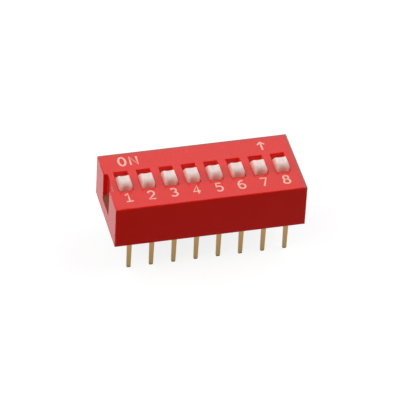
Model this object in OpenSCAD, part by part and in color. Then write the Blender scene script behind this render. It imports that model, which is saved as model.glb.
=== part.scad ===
// Slide-type DIP switch: a row of small on/off slides in one housing, with two rows of
// through-hole pins. X runs along the row, +Y is the ON side, Z is up, and the pin tips
// stand on Z = 0. All sizes are in millimetres, and every slide is drawn OFF.

/* [Switch row] */
// Number of switches in the row
ways = 8; // [2:1:12]
// Distance from one switch to the next
pitch = 2.54; // [2.1:0.01:3.2]
// Distance between the two rows of pins
row_spacing = 7.62; // [6.3:0.01:10.2]

/* [Cover] */
// Height of the body, from its underside to its top face
body_h = 5.25; // [4.3:0.05:7]
// Body beyond the outer half pitch, at each end
end_margin = 0.64; // [0.5:0.02:1.5]
// Body beyond the middle of each pin row, front and rear
row_margin = 0.99; // [0.95:0.01:1.6]
// Thickness of the top wall
top_wall = 0.9; // [0.7:0.05:1.2]
// Thickness of the front and rear walls
side_wall = 0.65; // [0.4:0.05:0.75]
// Radius of the moulded outer edges
edge_r = 0.12; // [0.05:0.01:0.3]
// Draft taken off each end of the ribs, which lets the mould open
rib_draft = 0.05; // [0:0.01:0.1]

/* [Groove, window and latches] */
// Width of the groove down the left end, and of the window in the right end
groove_w = 2.95; // [2:0.05:4]
// Depth of the groove and of the window
groove_depth = 0.5; // [0.3:0.05:0.6]
// Height of the sill under both, above the underside
sill_h = 1.75; // [1.3:0.05:2.2]
// Height of the window above the latch nose in it
window_rise = 0.15; // [0.05:0.05:0.3]
// Height of the latch nose that rests on the sill
nose_h = 0.85; // [0.6:0.05:1.3]
// How far the latch nose reaches out over the sill
nose_reach = 0.45; // [0.2:0.01:0.48]
// Height of the flat face at the foot of the nose, under its ramp
nose_land = 0.25; // [0.15:0.05:0.5]

/* [Base] */
// Height of the feet that hold the body off the circuit board
foot_h = 0.25; // [0.1:0.05:0.5]
// Radius of the feet
foot_r = 0.4; // [0.25:0.05:0.5]
// Depth of the base's underside inside the cover's rim
base_recess = 0.1; // [0.05:0.05:0.3]
// Thickness of plastic left above the hollows in the underside
core_floor = 1; // [0.7:0.05:1.1]
// Width of the ribs between those hollows
core_rib = 0.9; // [0.6:0.05:1.1]
// Plastic between the hollows and the terminals
core_wall = 0.6; // [0.4:0.05:1]
// Corner radius of the hollows
core_r = 0.2; // [0.1:0.05:0.3]
// How far the cover's ribs enter the base
rib_seat = 0.15; // [0.05:0.05:0.3]

/* [Actuators] */
// Travel from OFF to ON
travel = 1; // [0.8:0.05:1.2]
// Width of the knob where it leaves the cover, along the row
knob_w = 1.54; // [1.4:0.02:1.6]
// Length of the knob where it leaves the cover, along its travel
knob_l = 2.25; // [1.9:0.05:2.6]
// Height of the knob above the cover
knob_h = 0.86; // [0.7:0.02:1.2]
// How far the front of the knob leans in by the top
knob_rake = 0.25; // [0.05:0.05:0.4]
// How far each side of the knob leans in by the top
knob_lean = 0.18; // [0.05:0.01:0.2]
// How far the rear of the knob leans in by the top
knob_ramp = 0.7; // [0.4:0.05:0.9]
// Radius of the knob's two front upright corners
knob_corner_r = 0.45; // [0.2:0.05:0.5]
// Radius of the knob's two rear upright corners
knob_heel_r = 0.12; // [0.05:0.01:0.3]
// Radius along the knob's front top edge
knob_roll_r = 0.75; // [0.4:0.05:0.8]
// Radius along the knob's side top edges
knob_side_r = 0.35; // [0.1:0.05:0.4]
// Radius along the knob's rear top edge
knob_rear_r = 0.1; // [0.05:0.01:0.15]
// Depth of the finger channel over the knob's top and down its front
dip_depth = 0.26; // [0.1:0.02:0.26]
// Width of the channel
dip_w = 1; // [0.8:0.05:1.15]
// How far the channel's front run leans back by the knob's top
dip_rake = 0.14; // [0.05:0.01:0.25]
// Width of the carriage under the cover
carriage_w = 1.7; // [1.65:0.05:1.9]
// Thickness of the carriage's deck
deck_t = 1.3; // [1:0.05:1.5]
// Width of the rails that run on the base
rail_w = 0.3; // [0.2:0.02:0.4]
// Chamfer at each end of the deck
deck_chamfer = 0.2; // [0.1:0.05:0.3]
// Carriage that stays under the cover beyond the slot's ends
dust_lap = 0.1; // [0.05:0.05:0.3]
// Radius of the post that carries the contact spring
post_r = 0.16; // [0.1:0.02:0.2]
// Height of the post's staked head
head_h = 0.12; // [0.08:0.01:0.15]
// Radius of the post's staked head
head_r = 0.28; // [0.2:0.01:0.34]

/* [Contacts] */
// Height of the space between the deck and the base
contact_space = 0.85; // [0.7:0.05:1.1]
// Thickness of the spring strip
spring_t = 0.1; // [0.06:0.01:0.15]
// Distance between the spring's two contact points
contact_span = 2.2; // [1.9:0.05:2.6]
// Length of the turned-up tip past each contact point
spring_tip = 0.34; // [0.2:0.02:0.5]
// Width of the slit that splits each arm into two fingers
slit_w = 0.2; // [0.12:0.02:0.3]
// Length left whole in the middle of the spring
spring_web = 1.1; // [0.8:0.05:1.3]

/* [Terminals] */
// Length of the pins below the body
pin_l = 3.9; // [2.8:0.1:5]
// Width of the pins where they leave the body
pin_w = 0.56; // [0.4:0.02:0.7]
// Width of the pins at their tips
pin_tip_w = 0.46; // [0.3:0.02:0.56]
// Thickness of the terminal strip
terminal_t = 0.27; // [0.2:0.01:0.33]
// Width of the contact pad
pad_w = 1.2; // [0.9:0.05:1.4]
// Radius inside the bend
bend_r = 0.2; // [0.1:0.05:0.4]
// Height of the wide shank, above the neck down to the pin
shank_h = 0.35; // [0.2:0.05:0.6]
// Chamfer on the pin's tip
tip_chamfer = 0.08; // [0.04:0.01:0.15]
// Pad beyond the innermost place that a contact point reaches
contact_land = 0.22; // [0.1:0.02:0.25]

/* [Clearances] */
// Gap between the knob and its slot
slot_gap = 0.02; // [0.02:0.005:0.05]
// Gap above, below and beside the carriage
run_gap = 0.1; // [0.06:0.01:0.15]
// Gap between the base and the cover
base_fit = 0.03; // [0.02:0.01:0.06]
// Gap round the latches
latch_gap = 0.05; // [0.03:0.01:0.1]
// Gap beside the nose in its groove or window
nose_gap = 0.05; // [0.03:0.01:0.2]
// Gap between the cover's ribs and their seats in the base
rib_gap = 0.05; // [0.03:0.01:0.1]
// Gap between a contact point and the pad under it
touch_gap = 0.02; // [0.01:0.01:0.04]
// Gap between a terminal and the plastic moulded round it
insert_gap = 0.01; // [0.005:0.005:0.02]

/* [Hidden] */
$fn = 48;
eps = 0.01;

body_l = ways * pitch + 2 * end_margin;
body_w = row_spacing + 2 * row_margin;
seat_z = pin_l;
top_z = seat_z + body_h;
ceiling_z = top_z - top_wall;
deck_z = ceiling_z - run_gap;
bed_z = deck_z - deck_t - contact_space;
sill_z = seat_z + sill_h;
base_bottom_z = seat_z + base_recess;

cell_w = carriage_w + 2 * run_gap;
rib_t = pitch - cell_w;
cavity_l = (ways - 1) * pitch + cell_w;
cavity_w = body_w - 2 * side_wall;
slot_w = knob_w + 2 * slot_gap;
slot_l = knob_l + travel + 2 * slot_gap;
carriage_l = slot_l + travel + 2 * dust_lap;

end_wall = (body_l - cavity_l) / 2;
tongue_t = end_wall - groove_depth;
tongue_w = groove_w - 2 * nose_gap;
nose_bottom_z = sill_z + latch_gap;
nose_top_z = nose_bottom_z + nose_h;

spring_w = carriage_w - 2 * rail_w - run_gap;
spring_rise = contact_space - spring_t - 2 * touch_gap;
spring_mid_z = bed_z + touch_gap + spring_t / 2 + spring_rise / 2;
spring_half_l = contact_span / 2 + spring_tip;
spring_steps = 32;

front_pad_end = travel / 2 - contact_span / 2 + contact_land;
rear_pad_end = -contact_span / 2;

// Place of switch number i along the row
function way_x(i) = (i - (ways + 1) / 2) * pitch;

// A rectangle about the origin with its corners rounded to r
module rounded_rect(size, r) {
    square([size.x - 2 * r, size.y], center = true);
    square([size.x, size.y - 2 * r], center = true);
    for (x = [-1, 1], y = [-1, 1])
        translate([x * (size.x / 2 - r), y * (size.y / 2 - r)])
            circle(r);
}

// A flat outline drawn in X and Z, made thick along Y about the origin
module along_y(length) {
    rotate([90, 0, 0])
        linear_extrude(length, center = true)
            children();
}

// A flat outline drawn in Y and Z, made thick along X about the origin
module along_x(length) {
    rotate([90, 0, 90])
        linear_extrude(length, center = true)
            children();
}

// A block standing on z0, centred on the Z axis
module block(length, width, z0, z1) {
    translate([-length / 2, -width / 2, z0])
        cube([length, width, z1 - z0]);
}

// The cover's outer form: three rounded outlines crossed, so every edge is rolled
module cover_body() {
    translate([0, 0, (seat_z + top_z) / 2])
        intersection() {
            linear_extrude(body_h, center = true)
                rounded_rect([body_l, body_w], edge_r);
            along_y(body_w)
                rounded_rect([body_l, body_h], edge_r);
            along_x(body_l)
                rounded_rect([body_w, body_h], edge_r);
        }
}

// The space that the base and the slides fill, open at the underside
module cover_cavity() {
    tongue_room = tongue_t + latch_gap + eps;
    block(cavity_l, cavity_w, seat_z - eps, ceiling_z);
    for (side = [-1, 1])
        translate([side * (cavity_l / 2 - eps + tongue_room / 2), 0, 0])
            block(tongue_room, tongue_w + 2 * latch_gap, seat_z - eps, nose_top_z + latch_gap);
}

// A rib between two switches, a little narrower at its lower edge
module divider() {
    top = ceiling_z + eps;
    bottom = bed_z - rib_seat;
    along_y(cavity_w + 2 * eps)
        polygon([
            [-rib_t / 2, top],
            [rib_t / 2, top],
            [rib_t / 2 - rib_draft, bottom],
            [-rib_t / 2 + rib_draft, bottom],
        ]);
}

module cover() {
    color("#d8322c") {
        difference() {
            cover_body();
            cover_cavity();
            for (i = [1:ways])
                translate([way_x(i), 0, 0])
                    block(slot_w, slot_l, ceiling_z - eps, top_z + eps);
            translate([-body_l / 2, 0, 0])
                block(2 * groove_depth, groove_w, sill_z, top_z + eps);
            translate([body_l / 2, 0, 0])
                block(2 * groove_depth, groove_w, sill_z, nose_top_z + window_rise);
        }
        for (i = [1:ways - 1])
            translate([way_x(i) + pitch / 2, 0, 0])
                divider();
    }
}

// Latch at the +X end: a tongue up inside the end wall with a ramped nose over the sill
module latch() {
    inner_x = cavity_l / 2;
    nose_x = inner_x + tongue_t;
    translate([inner_x + tongue_t / 2, 0, 0])
        block(tongue_t, tongue_w, base_bottom_z, nose_top_z);
    translate([inner_x - base_fit / 2, 0, 0])
        block(base_fit + 2 * eps, tongue_w, base_bottom_z, bed_z);
    along_y(tongue_w)
        polygon([
            [nose_x - eps, nose_bottom_z],
            [nose_x + nose_reach, nose_bottom_z],
            [nose_x + nose_reach, nose_bottom_z + nose_land],
            [nose_x - eps, nose_top_z],
        ]);
}

// A hollow moulded into the underside below one switch, which keeps the walls even
module core_hollow() {
    hollow_w = pitch - core_rib;
    hollow_l = row_spacing - terminal_t - 2 * core_wall;
    translate([0, 0, base_bottom_z - eps])
        linear_extrude(bed_z - core_floor - base_bottom_z + eps)
            rounded_rect([hollow_w, hollow_l], core_r);
}

module base() {
    foot_y = row_spacing / 2 - terminal_t / 2 - core_wall - foot_r;
    color("#2b2a29") {
        difference() {
            union() {
                block(cavity_l - 2 * base_fit, cavity_w - 2 * base_fit, base_bottom_z, bed_z);
                latch();
                mirror([1, 0, 0])
                    latch();
            }
            for (i = [1:ways - 1])
                translate([way_x(i) + pitch / 2, 0, 0])
                    block(rib_t + 2 * rib_gap, cavity_w, bed_z - rib_seat - rib_gap, bed_z + eps);
            for (i = [1:ways])
                translate([way_x(i), 0, 0]) {
                    core_hollow();
                    front_terminal_form(insert_gap);
                    rear_terminal_form(insert_gap);
                }
        }
        for (i = [1, ways - 1], side = [-1, 1])
            translate([way_x(i) + pitch / 2, side * foot_y, seat_z - foot_h])
                cylinder(foot_h + base_recess + eps, r = foot_r);
    }
}

// Distance from the foot of a leaning face in to the centre of a roll of radius r
// that touches both the face and a level top
function roll_inset(lean, height, r) = (r * norm([lean, height]) + (height - r) * lean) / height;

// Outline of the knob above its deck: a straight foot in the slot, then a leaning face
// at each side that meets the level top in a roll. Each pair gives the - side first.
module knob_outline(foot, leans, rolls) {
    low = deck_z - top_z - eps;
    ends = [for (k = [0, 1]) foot / 2 - roll_inset(leans[k], knob_h, rolls[k])];
    tilts = [for (k = [0, 1]) [knob_h, leans[k]] / norm([knob_h, leans[k]])];
    outline = [for (k = [0, 1]) [
        [foot / 2, low],
        [foot / 2, 0],
        [ends[k] + rolls[k] * tilts[k].x, knob_h - rolls[k] + rolls[k] * tilts[k].y],
        [ends[k], knob_h],
    ]];
    translate([0, top_z]) {
        polygon(concat(
            outline[1],
            [for (j = [len(outline[0]) - 1:-1:0]) [-outline[0][j].x, outline[0][j].y]]
        ));
        for (k = [0, 1])
            translate([(2 * k - 1) * ends[k], knob_h - rolls[k]])
                circle(rolls[k]);
    }
}

// A rod along Y from the origin, its axis at height reach above it
module rod(length, reach, r) {
    translate([0, 0, reach])
        rotate([-90, 0, 0])
            cylinder(length, r = r);
}

// The finger channel: one round groove level over the knob's top, on round the roll of its
// front edge, and down its leaning front till it runs out in the slot
module finger_channel() {
    dip_r = (dip_w * dip_w / 4 + dip_depth * dip_depth) / (2 * dip_depth);
    reach = knob_roll_r - dip_depth + dip_r;
    far = reach + 2 * dip_r;
    roll_y = roll_inset(knob_rake, knob_h, knob_roll_r) - knob_l / 2;
    translate([0, roll_y, top_z + knob_h - knob_roll_r]) {
        rod(knob_l, reach, dip_r);
        intersection() {
            rotate([0, 90, 0])
                rotate_extrude()
                    translate([reach, 0])
                        circle(dip_r);
            along_x(2 * far)
                polygon([[0, 0], [0, far], [-far, far], [-far, far * dip_rake / knob_h]]);
        }
        rotate([atan2(knob_h, dip_rake), 0, 0])
            mirror([0, 1, 0])
                rod(2 * knob_h, reach, dip_r);
    }
}

// The knob's outline in plan: wide rounds at the front, tight ones at the rear
module knob_plan() {
    rounded_rect([knob_w, knob_l], knob_corner_r);
    translate([0, knob_l / 4])
        rounded_rect([knob_w, knob_l / 2], knob_heel_r);
}

module knob() {
    difference() {
        intersection() {
            along_x(knob_w)
                knob_outline(knob_l, [knob_rake, knob_ramp], [knob_roll_r, knob_rear_r]);
            along_y(knob_l)
                knob_outline(knob_w, [knob_lean, knob_lean], [knob_side_r, knob_side_r]);
            translate([0, 0, deck_z - eps])
                linear_extrude(top_z + knob_h - deck_z + 2 * eps)
                    knob_plan();
        }
        finger_channel();
    }
}

// The carriage under the cover: a deck with chamfered ends on two rails
module carriage() {
    half_l = carriage_l / 2;
    rail_bottom_z = bed_z + run_gap;
    deck_bottom_z = deck_z - deck_t;
    difference() {
        along_x(carriage_w)
            polygon([
                [-half_l, rail_bottom_z],
                [half_l, rail_bottom_z],
                [half_l, deck_z - deck_chamfer],
                [half_l - deck_chamfer, deck_z],
                [-half_l + deck_chamfer, deck_z],
                [-half_l, deck_z - deck_chamfer],
            ]);
        block(carriage_w - 2 * rail_w, carriage_l + 2 * eps, rail_bottom_z - eps, deck_bottom_z);
    }
}

// Post under the deck, its end staked over to hold the spring
module post() {
    deck_bottom_z = deck_z - deck_t;
    head_z = spring_height(head_r) - spring_t - touch_gap - head_h;
    translate([0, 0, head_z])
        cylinder(deck_bottom_z - head_z + eps, r = post_r);
    translate([0, 0, head_z])
        cylinder(head_h, r = head_r);
}

module actuator(i) {
    color("#f3ece4")
        translate([way_x(i), -travel / 2, 0]) {
            knob();
            carriage();
            post();
        }
}

// Height of the spring's middle line at a distance y from its centre: one smooth wave
function spring_height(y) = spring_mid_z + spring_rise / 2 * cos(180 * y / (contact_span / 2));

// Slope of that wave, as an angle
function spring_slope(y) =
    atan(-spring_rise / 2 * sin(180 * y / (contact_span / 2)) * PI / (contact_span / 2));

// A point on the strip's upper or lower surface
function spring_point(y, side) = [
    y - side * spring_t / 2 * sin(spring_slope(y)),
    spring_height(y) + side * spring_t / 2 * cos(spring_slope(y)),
];

// Waved leaf spring that bridges a front and a rear pad, its arms split into two fingers
module contact_spring(i) {
    places = [for (k = [0:spring_steps]) spring_half_l * (2 * k / spring_steps - 1)];
    upper = [for (y = places) spring_point(y, 1)];
    lower = [for (k = [spring_steps:-1:0]) spring_point(places[k], -1)];
    arm_l = spring_half_l - spring_web / 2;
    color("#c9a860")
        translate([way_x(i), -travel / 2, 0])
            difference() {
                along_x(spring_w)
                    polygon(concat(upper, lower));
                for (side = [-1, 1])
                    translate([0, side * (spring_web / 2 + arm_l / 2 + eps), 0])
                        block(slit_w, arm_l + 2 * eps, bed_z - eps, deck_z);
                translate([0, 0, bed_z])
                    cylinder(contact_space, r = post_r + touch_gap);
            }
}

// Side view of a terminal on the +Y side: a flat pad, a round bend and a straight pin.
// grow makes it larger all round, for the space that it takes in the base.
module terminal_side(pad_end, grow) {
    outer_y = row_spacing / 2 + terminal_t / 2 + grow;
    thick = terminal_t + 2 * grow;
    top = bed_z + grow;
    inside_r = bend_r - grow;
    outside_r = bend_r + terminal_t + grow;
    translate([pad_end - grow, top - thick])
        square([outer_y - outside_r - pad_end + grow, thick]);
    translate([outer_y - thick, -grow])
        square([thick, top - outside_r + grow]);
    translate([outer_y - outside_r, top - outside_r])
        intersection() {
            difference() {
                circle(outside_r);
                circle(inside_r);
            }
            square(outside_r);
        }
}

// Front view of a terminal: a wide pad and shank, a neck and a pin that narrows to its tip
module terminal_front(grow) {
    half_pad = pad_w / 2 + grow;
    half_pin = pin_w / 2 + grow;
    half_tip = pin_tip_w / 2 + grow;
    neck_z = bed_z - terminal_t - bend_r - shank_h;
    half_outline = [
        [half_tip - tip_chamfer, -grow],
        [half_tip, tip_chamfer - grow],
        [half_pin, seat_z],
        [half_pin, neck_z - (half_pad - half_pin)],
        [half_pad, neck_z],
        [half_pad, bed_z + grow],
    ];
    last = len(half_outline) - 1;
    polygon(concat(half_outline, [for (k = [last:-1:0]) [-half_outline[k].x, half_outline[k].y]]));
}

module terminal_form(pad_end, grow) {
    intersection() {
        along_x(pad_w + 2 * grow)
            terminal_side(pad_end, grow);
        along_y(2 * row_spacing)
            terminal_front(grow);
    }
}

module rear_terminal_form(grow = 0) {
    terminal_form(-rear_pad_end, grow);
}

module front_terminal_form(grow = 0) {
    mirror([0, 1, 0])
        terminal_form(-front_pad_end, grow);
}

module front_terminal(i) {
    color("#c8a850")
        translate([way_x(i), 0, 0])
            front_terminal_form();
}

module rear_terminal(i) {
    color("#c8a850")
        translate([way_x(i), 0, 0])
            rear_terminal_form();
}

cover();
base();
for (i = [1:ways]) {
    actuator(i);
    contact_spring(i);
    front_terminal(i);
    rear_terminal(i);
}
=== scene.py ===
"""Looks of an eight-way slide DIP switch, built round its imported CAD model."""
import math

import bmesh
import bpy
from mathutils import Matrix, Vector


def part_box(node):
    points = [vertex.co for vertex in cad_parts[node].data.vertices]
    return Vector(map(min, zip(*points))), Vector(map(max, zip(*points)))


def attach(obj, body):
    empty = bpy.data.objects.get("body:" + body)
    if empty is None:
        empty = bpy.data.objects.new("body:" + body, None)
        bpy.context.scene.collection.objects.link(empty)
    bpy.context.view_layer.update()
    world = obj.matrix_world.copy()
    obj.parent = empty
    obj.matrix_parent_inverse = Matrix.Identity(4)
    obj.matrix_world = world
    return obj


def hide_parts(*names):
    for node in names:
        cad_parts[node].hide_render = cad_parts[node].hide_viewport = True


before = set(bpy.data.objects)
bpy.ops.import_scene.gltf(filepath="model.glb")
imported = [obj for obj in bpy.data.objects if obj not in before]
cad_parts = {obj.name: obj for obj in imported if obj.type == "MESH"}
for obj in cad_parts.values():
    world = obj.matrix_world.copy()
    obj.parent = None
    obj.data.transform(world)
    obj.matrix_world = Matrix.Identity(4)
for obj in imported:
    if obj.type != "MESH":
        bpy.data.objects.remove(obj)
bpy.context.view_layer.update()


# ---------------------------------------------------------------- terminals
# Sixteen terminals stamped from 0.27 mm phosphor bronze strip, flashed with gold over nickel.
# The strip is plated before it is cropped, so each pin's sheared tip shows the duller bronze,
# and stamping rolls the long edges over slightly, which gives each pin a thin line of light.

MM = 0.001
ways = sum(name.startswith("actuator_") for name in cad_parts)
positions = range(1, ways + 1)
pin_edge_mm = 0.03
pin_length_mm = 3.9
cropped_mm = 0.3
mark_width_mm, mark_length_mm = 0.03, 3


def linear(hex_colour):
    """A colour such as "c8a850", turned from sRGB to the linear values that a shader takes."""
    srgb = [int(hex_colour[k:k + 2], 16) / 255 for k in (0, 2, 4)]
    return [v / 12.92 if v <= 0.04045 else ((v + 0.055) / 1.055) ** 2.4 for v in srgb] + [1]


def add(tree, kind, settings=None, inputs=None):
    """A new shader node, with its properties set and its sockets given a value or a link."""
    made = tree.nodes.new(kind)
    for name, value in (settings or {}).items():
        setattr(made, name, value)
    for name, value in (inputs or {}).items():
        if isinstance(value, bpy.types.NodeSocket):
            tree.links.new(value, made.inputs[name])
        else:
            made.inputs[name].default_value = value
    return made


def new_material(name):
    """An empty material, with its node tree and its output node."""
    material = bpy.data.materials.new(name)
    material.use_nodes = True
    tree = material.node_tree
    tree.nodes.clear()
    return material, tree, add(tree, "ShaderNodeOutputMaterial")


def finished_copy(node, edge_mm, material, body):
    """A CAD node's own shape with its sharp edges rounded, standing for that node."""
    same_point_mm = 0.0005
    flat, sharp = math.radians(0.5), math.radians(40)
    mesh = bmesh.new()
    mesh.from_mesh(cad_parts[node].data)
    bmesh.ops.remove_doubles(mesh, verts=mesh.verts, dist=same_point_mm * MM)
    bmesh.ops.dissolve_limit(mesh, angle_limit=flat, verts=mesh.verts, edges=mesh.edges)
    corners = [e for e in mesh.edges if e.is_manifold and e.calc_face_angle(0) > sharp]
    bmesh.ops.bevel(
        mesh, geom=corners, offset=edge_mm * MM, offset_type="OFFSET", segments=2,
        profile=0.5, affect="EDGES", clamp_overlap=True, material=-1,
    )
    data = bpy.data.meshes.new(node + "_shape")
    mesh.to_mesh(data)
    mesh.free()
    data.shade_smooth()
    data.materials.append(material)
    piece = bpy.data.objects.new(node + "_finished", data)
    bpy.context.collection.objects.link(piece)
    piece.modifiers.new("even shading", "WEIGHTED_NORMAL").weight = 100
    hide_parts(node)
    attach(piece, body)


gold, tree, output = new_material("gold flash on phosphor bronze, stamped")
place = add(tree, "ShaderNodeTexCoord").outputs["Object"]
height = add(tree, "ShaderNodeSeparateXYZ", inputs={"Vector": place}).outputs["Z"]
# Rolling marks run along the strip and make its shine slightly streaky.
across, along = 1 / (mark_width_mm * MM), 1 / (mark_length_mm * MM)
marks = add(
    tree, "ShaderNodeMapping", inputs={"Vector": place, "Scale": (across, across, along)},
).outputs["Vector"]
grain = add(tree, "ShaderNodeTexNoise", inputs={"Vector": marks, "Scale": 1.0, "Detail": 2.0})
# The plating thins towards the cropped tip.
bare = add(
    tree, "ShaderNodeMapRange", {"interpolation_type": "SMOOTHSTEP"},
    {"Value": height, "From Min": cropped_mm * MM, "From Max": 0.02 * MM},
).outputs["Result"]
# Painted reflection: the plate is coloured warmer and brighter by the body, for the red cover's
# light on it, and duller down the pin.
painted_cover_reflection = add(
    tree, "ShaderNodeMapRange",
    inputs={"Value": height, "From Min": cropped_mm * MM, "From Max": pin_length_mm * MM},
).outputs["Result"]
plain_plate, plate_with_painted_red = (
    add(
        tree, "ShaderNodeMix", {"data_type": "RGBA"},
        {"Factor": grain.outputs["Fac"], "A": linear(dark), "B": linear(light)},
    ).outputs["Result"]
    for dark, light in (("8d7549", "a89061"), ("a47b4f", "c39868"))
)
plate_and_painted_reflection = add(
    tree, "ShaderNodeMix", {"data_type": "RGBA"}, {"Factor": painted_cover_reflection, "A": plain_plate, "B": plate_with_painted_red},
)
surface_colour = add(
    tree, "ShaderNodeMix", {"data_type": "RGBA"},
    {"Factor": bare, "A": plate_and_painted_reflection.outputs["Result"], "B": linear("6a5636")},
)
roughness = add(
    tree, "ShaderNodeMapRange",
    inputs={"Value": grain.outputs["Fac"], "To Min": 0.22, "To Max": 0.42},
)
relief = add(
    tree, "ShaderNodeBump",
    inputs={"Height": grain.outputs["Fac"], "Strength": 0.15, "Distance": 0.003 * MM},
)
shader = add(tree, "ShaderNodeBsdfPrincipled", inputs={
    "Base Color": surface_colour.outputs["Result"], "Metallic": 1.0,
    "Roughness": roughness.outputs["Result"], "Normal": relief.outputs["Normal"],
})
tree.links.new(shader.outputs["BSDF"], output.inputs["Surface"])

for row in ("front", "rear"):
    for i in positions:
        finished_copy(f"{row}_terminal_{i}", pin_edge_mm, gold, "housing")


# ---------------------------------------------------------------- base
# The moulded plate that closes the cover from below: brown PBT filled with glass fibre.
# The fibres leave it matt, with faint pale flecks where they lie at the surface. It holds
# the terminals and snaps over the sills in the cover's ends.

base_edge_mm = 0.03
fibre_mm = 0.08
brown, tree, output = new_material("glass-filled brown PBT, moulded")
place = add(tree, "ShaderNodeTexCoord").outputs["Object"]
flecks = add(
    tree, "ShaderNodeTexVoronoi", {"feature": "F1"},
    {"Vector": place, "Scale": 1 / (fibre_mm * MM)},
)
# A fleck is the middle of each cell, so its rim fades out at about a fifth of the cell's size.
fleck_mask = add(
    tree, "ShaderNodeMapRange",
    inputs={"Value": flecks.outputs["Distance"], "From Min": 0.22, "From Max": 0.1},
)
surface_colour = add(
    tree, "ShaderNodeMix", {"data_type": "RGBA"},
    {"Factor": fleck_mask.outputs["Result"], "A": linear("8a4430"), "B": linear("a55f4a")},
)
relief = add(
    tree, "ShaderNodeBump",
    inputs={"Height": flecks.outputs["Distance"], "Strength": 0.2, "Distance": 0.01 * MM},
)
roughness = add(
    tree, "ShaderNodeMapRange",
    inputs={"Value": fleck_mask.outputs["Result"], "To Min": 0.7, "To Max": 0.55},
)
shader = add(tree, "ShaderNodeBsdfPrincipled", inputs={
    "Base Color": surface_colour.outputs["Result"], "Roughness": roughness.outputs["Result"],
    "IOR": 1.55, "Specular IOR Level": 0.1, "Normal": relief.outputs["Normal"],
})
tree.links.new(shader.outputs["BSDF"], output.inputs["Surface"])
finished_copy("base", base_edge_mm, brown, "housing")


# ---------------------------------------------------------------- contact springs
# Waved leaf springs of beryllium copper, gold plated, that bridge the pads inside.
# They are sealed in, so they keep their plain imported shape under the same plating.

for i in positions:
    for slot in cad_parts[f"contact_spring_{i}"].material_slots:
        slot.material = gold


# ---------------------------------------------------------------- actuators
# Eight white slides moulded in acetal, each held under the cover with its knob in a slot.
# The resin lets light some way in, so the knobs look soft and milky.

knob_edge_mm = 0.03
cloud_mm, skin_mm = 1.2, 0.05
painted_shade_forward_mm, painted_shade_reach_mm = 0.75, 0.6
blush_low_mm, blush_high_mm = 0.1, 0.75
acetal, tree, output = new_material("white acetal, moulded")
place = add(tree, "ShaderNodeTexCoord").outputs["Object"]
# Flow in the mould leaves the shade and the gloss uneven, over about a millimetre.
cloud = add(
    tree, "ShaderNodeTexNoise",
    inputs={"Vector": place, "Scale": 1 / (cloud_mm * MM), "Detail": 3.0},
)
resin = add(
    tree, "ShaderNodeMix", {"data_type": "RGBA"},
    {"Factor": cloud.outputs["Fac"], "A": linear("efdcd7"), "B": linear("f8e9e5")},
)
# Painted shade: a faint grey band across each knob, where its top rolls over to the front.
knob_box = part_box("actuator_1")
painted_shade_y = (knob_box[0].y + knob_box[1].y) / 2 - painted_shade_forward_mm * MM
painted_shade_reach = painted_shade_reach_mm * MM
where = add(tree, "ShaderNodeSeparateXYZ", inputs={"Vector": place})
across = add(tree, "ShaderNodeMapRange", inputs={
    "Value": where.outputs["Y"], "From Min": painted_shade_y - painted_shade_reach, "From Max": painted_shade_y + painted_shade_reach,
})
painted_roll_shade = add(tree, "ShaderNodeValToRGB", inputs={"Fac": across.outputs["Result"]})
painted_roll_shade.color_ramp.interpolation = "EASE"
painted_roll_shade.color_ramp.elements[1].color = (0, 0, 0, 1)
painted_roll_shade.color_ramp.elements.new(0.5).color = (1, 1, 1, 1)
resin_with_painted_shade = add(
    tree, "ShaderNodeMix", {"data_type": "RGBA"},
    {"Factor": painted_roll_shade.outputs["Color"], "A": resin.outputs["Result"], "B": linear("dccbc5")},
)
# The cover's red shines into the foot of each knob and fades out further up.
top_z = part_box("cover")[1].z
blush = add(
    tree, "ShaderNodeMapRange", {"interpolation_type": "SMOOTHSTEP"},
    {
        "Value": where.outputs["Z"],
        "From Min": top_z + blush_high_mm * MM, "From Max": top_z + blush_low_mm * MM,
    },
)
surface_colour = add(
    tree, "ShaderNodeMix", {"data_type": "RGBA"},
    {"Factor": blush.outputs["Result"], "A": resin_with_painted_shade.outputs["Result"], "B": linear("f0b4a6")},
)
skin = add(
    tree, "ShaderNodeTexNoise",
    inputs={"Vector": place, "Scale": 1 / (skin_mm * MM), "Detail": 2.0},
)
relief = add(
    tree, "ShaderNodeBump",
    inputs={"Height": skin.outputs["Fac"], "Strength": 0.15, "Distance": 0.005 * MM},
)
roughness = add(
    tree, "ShaderNodeMapRange",
    inputs={"Value": cloud.outputs["Fac"], "To Min": 0.32, "To Max": 0.44},
)
shader = add(tree, "ShaderNodeBsdfPrincipled", inputs={
    "Base Color": surface_colour.outputs["Result"],
    "Roughness": roughness.outputs["Result"], "IOR": 1.48,
    "Subsurface Weight": 0.6, "Subsurface Radius": (1.0, 0.65, 0.55),
    "Subsurface Scale": 0.4 * MM, "Normal": relief.outputs["Normal"],
})
tree.links.new(shader.outputs["BSDF"], output.inputs["Surface"])
for i in positions:
    finished_copy(f"actuator_{i}", knob_edge_mm, acetal, f"slide_{i}")


# ---------------------------------------------------------------- cover
# The red housing, moulded in PBT with a fine spark-eroded texture from the tool.
# The texture makes it satin: bright at a grazing angle, deep red seen square on.

cover_edge_mm = 0.05
tone_mm, texture_mm = 4, 0.06
edge_shade_start_mm, edge_shade_full_mm = 0.55, 0.1
slots_x_mm, slots_y_mm, slots_depth_mm = 10, 3, 0.06
red, tree, output = new_material("red PBT, moulded with a fine satin texture")
place = add(tree, "ShaderNodeTexCoord").outputs["Object"]
tone = add(
    tree, "ShaderNodeTexNoise",
    inputs={"Vector": place, "Scale": 1 / (tone_mm * MM), "Detail": 3.0},
)
resin = add(
    tree, "ShaderNodeMix", {"data_type": "RGBA"},
    {"Factor": tone.outputs["Fac"], "A": linear("e21c13"), "B": linear("e92118")},
)
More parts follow.
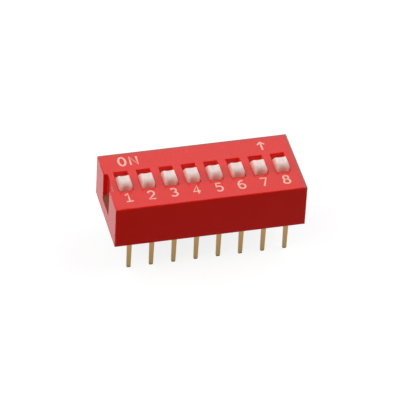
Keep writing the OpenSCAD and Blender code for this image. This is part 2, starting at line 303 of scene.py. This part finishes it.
# Painted shade: a darker band along the top's rear and right rims.
where = add(tree, "ShaderNodeSeparateXYZ", inputs={"Vector": place})
near_shaded_edge = {}
for axis, edge in zip("XYZ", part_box("cover")[1]):
    near_shaded_edge[axis] = add(
        tree, "ShaderNodeMapRange", {"interpolation_type": "SMOOTHSTEP"},
        {
            "Value": where.outputs[axis],
            "From Min": edge - edge_shade_start_mm * MM, "From Max": edge - edge_shade_full_mm * MM,
        },
    ).outputs["Result"]
shaded_side = add(tree, "ShaderNodeMath", {"operation": "MAXIMUM"}, {0: near_shaded_edge["X"], 1: near_shaded_edge["Y"]})
painted_edge_shade = add(
    tree, "ShaderNodeMath", {"operation": "MULTIPLY"},
    {0: shaded_side.outputs["Value"], 1: near_shaded_edge["Z"]},
)
surface_colour = add(
    tree, "ShaderNodeMix", {"data_type": "RGBA"},
    {"Factor": painted_edge_shade.outputs["Value"], "A": resin.outputs["Result"], "B": linear("b4453e")},
)
erosion = add(
    tree, "ShaderNodeTexNoise",
    inputs={"Vector": place, "Scale": 1 / (texture_mm * MM), "Detail": 3.0},
)
relief = add(
    tree, "ShaderNodeBump",
    inputs={"Height": erosion.outputs["Fac"], "Strength": 0.25, "Distance": 0.006 * MM},
)
roughness = add(
    tree, "ShaderNodeMapRange",
    inputs={"Value": erosion.outputs["Fac"], "To Min": 0.2, "To Max": 0.32},
)
# The texture swallows what a face seen square on would mirror, and lets it show at a slant.
facing = add(tree, "ShaderNodeLayerWeight", inputs={"Blend": 0.5})
sheen = add(tree, "ShaderNodeValToRGB", inputs={"Fac": facing.outputs["Facing"]})
for slant, level in ((0.26, 0.05), (0.37, 0.52), (0.5, 0.45), (0.8, 0.2)):
    sheen.color_ramp.elements.new(slant).color = (level, level, level, 1)
for end in (0, -1):
    sheen.color_ramp.elements.remove(sheen.color_ramp.elements[end])
# The steel pins that form the slots are polished, so the walls in there mirror the knobs.
in_slots = 1.0
for axis, limit in (
    ("X", slots_x_mm * MM), ("Y", slots_y_mm * MM), ("Z", top_z - slots_depth_mm * MM),
):
    extent = add(tree, "ShaderNodeMath", {"operation": "ABSOLUTE"}, {0: where.outputs[axis]})
    within = add(
        tree, "ShaderNodeMath", {"operation": "LESS_THAN"},
        {0: extent.outputs["Value"], 1: limit},
    )
    in_slots = add(
        tree, "ShaderNodeMath", {"operation": "MULTIPLY"},
        {0: in_slots, 1: within.outputs["Value"]},
    ).outputs["Value"]
gloss = add(
    tree, "ShaderNodeMapRange",
    inputs={"Value": in_slots, "To Min": sheen.outputs["Color"], "To Max": 1.0},
)
shader = add(tree, "ShaderNodeBsdfPrincipled", inputs={
    "Base Color": surface_colour.outputs["Result"],
    "Roughness": roughness.outputs["Result"], "IOR": 1.5,
    "Specular IOR Level": gloss.outputs["Result"], "Normal": relief.outputs["Normal"],
    "Subsurface Weight": 0.4, "Subsurface Radius": (1.0, 0.15, 0.1),
    "Subsurface Scale": 0.5 * MM,
})
tree.links.new(shader.outputs["BSDF"], output.inputs["Surface"])
finished_copy("cover", cover_edge_mm, red, "housing")


# ---------------------------------------------------------------- legends
# ON, an arrow to the ON side, and the numerals 1 to 8, pad printed in cream ink.
# Each stroke is a low ribbon of ink with a rounded edge, as thin as such ink dries.

ink_mm = 0.015
cloudy_ink_mm = 0.25
on_x_mm, arrow_x_mm = (-8.74, -7.44), 7.1
rear_y_mm, rear_height_mm = 2.5, 1.65
numeral_y_mm, numeral_height_mm, numeral_width_mm = -3.62, 1.55, 0.9
pitch = (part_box(f"actuator_{ways}")[0].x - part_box("actuator_1")[0].x) / (ways - 1)
cream, tree, output = new_material("cream pad-printing ink")
place = add(tree, "ShaderNodeTexCoord").outputs["Object"]
# The ink is thin, so the red shows through it unevenly, and it dries with a slight grain.
thin = add(
    tree, "ShaderNodeTexNoise",
    inputs={"Vector": place, "Scale": 1 / (cloudy_ink_mm * MM), "Detail": 3.0},
)
surface_colour = add(
    tree, "ShaderNodeMix", {"data_type": "RGBA"},
    {"Factor": thin.outputs["Fac"], "A": linear("fbad9b"), "B": linear("ffcebc")},
)
roughness = add(
    tree, "ShaderNodeMapRange",
    inputs={"Value": thin.outputs["Fac"], "To Min": 0.48, "To Max": 0.62},
)
relief = add(
    tree, "ShaderNodeBump",
    inputs={"Height": thin.outputs["Fac"], "Strength": 0.2, "Distance": 0.004 * MM},
)
shader = add(tree, "ShaderNodeBsdfPrincipled", inputs={
    "Base Color": surface_colour.outputs["Result"],
    "Roughness": roughness.outputs["Result"], "Normal": relief.outputs["Normal"],
})
tree.links.new(shader.outputs["BSDF"], output.inputs["Surface"])


def arc(x, y, rx, ry, start, end, steps=14):
    """Points along part of an ellipse, from one angle to another in degrees."""
    turns = [math.radians(start + (end - start) * k / steps) for k in range(steps + 1)]
    return [(x + rx * math.cos(t), y + ry * math.sin(t)) for t in turns]


# Strokes on a grid one unit high and about 0.6 wide, each a list of points.
glyphs = {
    "O": [arc(0.3, 0.5, 0.27, 0.5, 90, 450, 28)],
    "N": [[(0.02, 0), (0.02, 1), (0.6, 0), (0.6, 1)]],
    "1": [[(0.06, 0.8), (0.32, 1), (0.32, 0)], [(0.04, 0), (0.62, 0)]],
    "2": [arc(0.31, 0.7, 0.26, 0.3, 165, -40) + [(0.04, 0), (0.6, 0)]],
    "3": [arc(0.3, 0.76, 0.23, 0.24, 150, -90) + arc(0.3, 0.27, 0.27, 0.25, 90, -150)],
    "4": [[(0.42, 0), (0.42, 1), (0.02, 0.3), (0.6, 0.3)]],
    "5": [[(0.52, 1), (0.12, 1), (0.08, 0.56)] + arc(0.3, 0.32, 0.27, 0.32, 130, -145)],
    "6": [arc(0.42, 0.52, 0.37, 0.48, 75, 180) + arc(0.31, 0.3, 0.26, 0.3, 180, 540, 24)],
    "7": [[(0.04, 1), (0.58, 1), (0.22, 0)]],
    "8": [arc(0.3, 0.76, 0.22, 0.24, -90, 270, 22), arc(0.3, 0.27, 0.27, 0.27, 90, 450, 24)],
    "arrow": [[(0.3, 0), (0.3, 1)], [(0.02, 0.66), (0.3, 1), (0.58, 0.66)]],
}


def print_glyph(name, glyph, x_mm, y_mm, height_mm, stroke_mm):
    """Prints a glyph on the cover's top face, its lower left corner at x, y.

    The pad sat a little askew on the face, so the left end of the print is higher.
    """
    askew_mm = 0.03 - 0.0085 * x_mm
    path = bpy.data.curves.new(name + "_path", "CURVE")
    path.dimensions = "3D"
    path.bevel_depth = stroke_mm / 2 * MM
    path.bevel_resolution = 3
    path.use_fill_caps = True
    rise = height_mm - stroke_mm
    for stroke in glyphs[glyph]:
        closed = math.dist(stroke[0], stroke[-1]) < 1e-6
        points = stroke[:-1] if closed else stroke
        line = path.splines.new("POLY")
        line.points.add(len(points) - 1)
        for point, (x, y) in zip(line.points, points):
            point.co = (x * rise * MM, y * rise * MM, 0, 1)
        line.use_cyclic_u = closed
    shape = bpy.data.objects.new(name + "_path", path)
    bpy.context.collection.objects.link(shape)
    bpy.context.view_layer.update()
    evaluated = shape.evaluated_get(bpy.context.evaluated_depsgraph_get())
    data = bpy.data.meshes.new_from_object(evaluated)
    bpy.data.objects.remove(shape)
    mesh = bmesh.new()
    mesh.from_mesh(data)
    bmesh.ops.scale(mesh, vec=(1, 1, ink_mm / (stroke_mm / 2)), verts=mesh.verts)
    corner = (x_mm * MM, (y_mm + askew_mm) * MM, top_z)
    bmesh.ops.translate(mesh, vec=corner, verts=mesh.verts)
    mesh.to_mesh(data)
    mesh.free()
    data.shade_smooth()
    data.materials.clear()
    data.materials.append(cream)
    piece = bpy.data.objects.new(name, data)
    bpy.context.collection.objects.link(piece)
    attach(piece, "housing")


print_glyph("legend_on_o", "O", on_x_mm[0], rear_y_mm, rear_height_mm, stroke_mm=0.25)
print_glyph("legend_on_n", "N", on_x_mm[1], rear_y_mm, rear_height_mm, stroke_mm=0.26)
print_glyph("legend_arrow", "arrow", arrow_x_mm, rear_y_mm, rear_height_mm, stroke_mm=0.22)
for i in positions:
    left_mm = (i - (ways + 1) / 2) * pitch / MM - numeral_width_mm / 2
    print_glyph(
        f"numeral_{i}", str(i), left_mm, numeral_y_mm, numeral_height_mm, stroke_mm=0.22,
    )


# ---------------------------------------------------------------- setting
# A white studio floor, four soft lamps and a pale sky. The switch stands on its pins.
# The floor and the sky are white to the eye, but light the switch only at a plain level.

def seen_by_eye(tree):
    """1 for rays that the camera sees, straight or by way of metal or glass, and 0 for others."""
    rays = add(tree, "ShaderNodeLightPath")
    total = rays.outputs["Is Camera Ray"]
    for kind in ("Is Glossy Ray", "Is Transmission Ray"):
        total = add(
            tree, "ShaderNodeMath", {"operation": "MAXIMUM"}, {0: total, 1: rays.outputs[kind]},
        ).outputs["Value"]
    return total


half_floor = 1.5
floor_mesh = bmesh.new()
bmesh.ops.create_grid(floor_mesh, x_segments=1, y_segments=1, size=half_floor)
floor_data = bpy.data.meshes.new("floor")
floor_mesh.to_mesh(floor_data)
floor_mesh.free()
floor = bpy.data.objects.new("floor", floor_data)
bpy.context.collection.objects.link(floor)

# To the eye the paper is mostly its own glow, so it reads as pure white yet keeps the shadow.
# To the switch it is plain grey, so it throws little light up at the sides.
paper, tree, output = new_material("white studio paper")
seen = seen_by_eye(tree)
shade = add(
    tree, "ShaderNodeMix", {"data_type": "RGBA"},
    {"Factor": seen, "A": linear("888888"), "B": linear("eeeeee")},
)
share = add(tree, "ShaderNodeMapRange", inputs={"Value": seen, "To Max": 0.7})
matt = add(tree, "ShaderNodeBsdfDiffuse", inputs={"Color": shade.outputs["Result"]})
glow = add(
    tree, "ShaderNodeEmission", inputs={"Color": linear("ffffff"), "Strength": 1.18},
)
mixed = add(tree, "ShaderNodeMixShader", inputs={
    "Fac": share.outputs["Result"], 1: matt.outputs["BSDF"], 2: glow.outputs["Emission"],
})
tree.links.new(mixed.outputs["Shader"], output.inputs["Surface"])
floor_data.materials.append(paper)

# The sky is white to the eye and a tenth of that to the switch.
world = bpy.data.worlds.new("studio")
world.use_nodes = True
bpy.context.scene.world = world
tree = world.node_tree
tree.nodes.clear()
output = add(tree, "ShaderNodeOutputWorld")
strength = add(
    tree, "ShaderNodeMapRange",
    inputs={"Value": seen_by_eye(tree), "To Min": 0.1, "To Max": 1.0},
)
sky = add(
    tree, "ShaderNodeBackground",
    inputs={"Color": linear("ffffff"), "Strength": strength.outputs["Result"]},
)
tree.links.new(sky.outputs["Background"], output.inputs["Surface"])


def outwards(azimuth, elevation):
    """The direction from the switch at two angles; azimuth 0 is in front, 90 at its right."""
    level = math.cos(elevation)
    return Vector((
        math.sin(azimuth) * level, -math.cos(azimuth) * level, math.sin(elevation),
    ))


def lamp(name, azimuth, elevation, size, power):
    """A square lamp aimed at the switch, from angles in degrees and a fixed distance."""
    distance = 0.7
    light = bpy.data.lights.new(name, "AREA")
    light.size = size
    light.energy = power
    towards = outwards(math.radians(azimuth), math.radians(elevation))
    body = bpy.data.objects.new(name, light)
    body.location = towards * distance
    body.rotation_euler = towards.to_track_quat("Z", "Y").to_euler()
    bpy.context.collection.objects.link(body)


lamp("right_lamp", azimuth=100, elevation=40, size=0.7, power=3.25)
lamp("left_lamp", azimuth=-115, elevation=36, size=0.7, power=2.35)
lamp("front_lamp", azimuth=-45, elevation=45, size=0.6, power=1.9)
lamp("rear_lamp", azimuth=180, elevation=25, size=0.7, power=0.5)

# The camera looks from the front left, well above, through a long lens, rolled a little.
azimuth, elevation, roll = math.radians(-15.634), math.radians(39.721), math.radians(3.258)
lens_mm, frame_mm, away_mm = 351.4, 36, 431.64
aim_height_mm, aim_left_mm, aim_down_mm = 6.5, 0.115, 1.081
back = outwards(azimuth, elevation)
level_right = (-back).cross(Vector((0, 0, 1))).normalized()
level_up = level_right.cross(-back)
right = level_right * math.cos(roll) + level_up * math.sin(roll)
up = level_up * math.cos(roll) - level_right * math.sin(roll)
aim = Vector((0, 0, aim_height_mm * MM)) - right * aim_left_mm * MM - up * aim_down_mm * MM
camera_data = bpy.data.cameras.new("camera")
camera_data.lens = lens_mm
camera_data.sensor_width = frame_mm
camera_data.clip_start = 0.01
camera = bpy.data.objects.new("camera", camera_data)
bpy.context.collection.objects.link(camera)
turned = Matrix((right, up, back)).transposed().to_4x4()
camera.matrix_world = Matrix.Translation(aim + back * away_mm * MM) @ turned
bpy.context.scene.camera = camera
bpy.context.scene.view_settings.view_transform = "Standard"
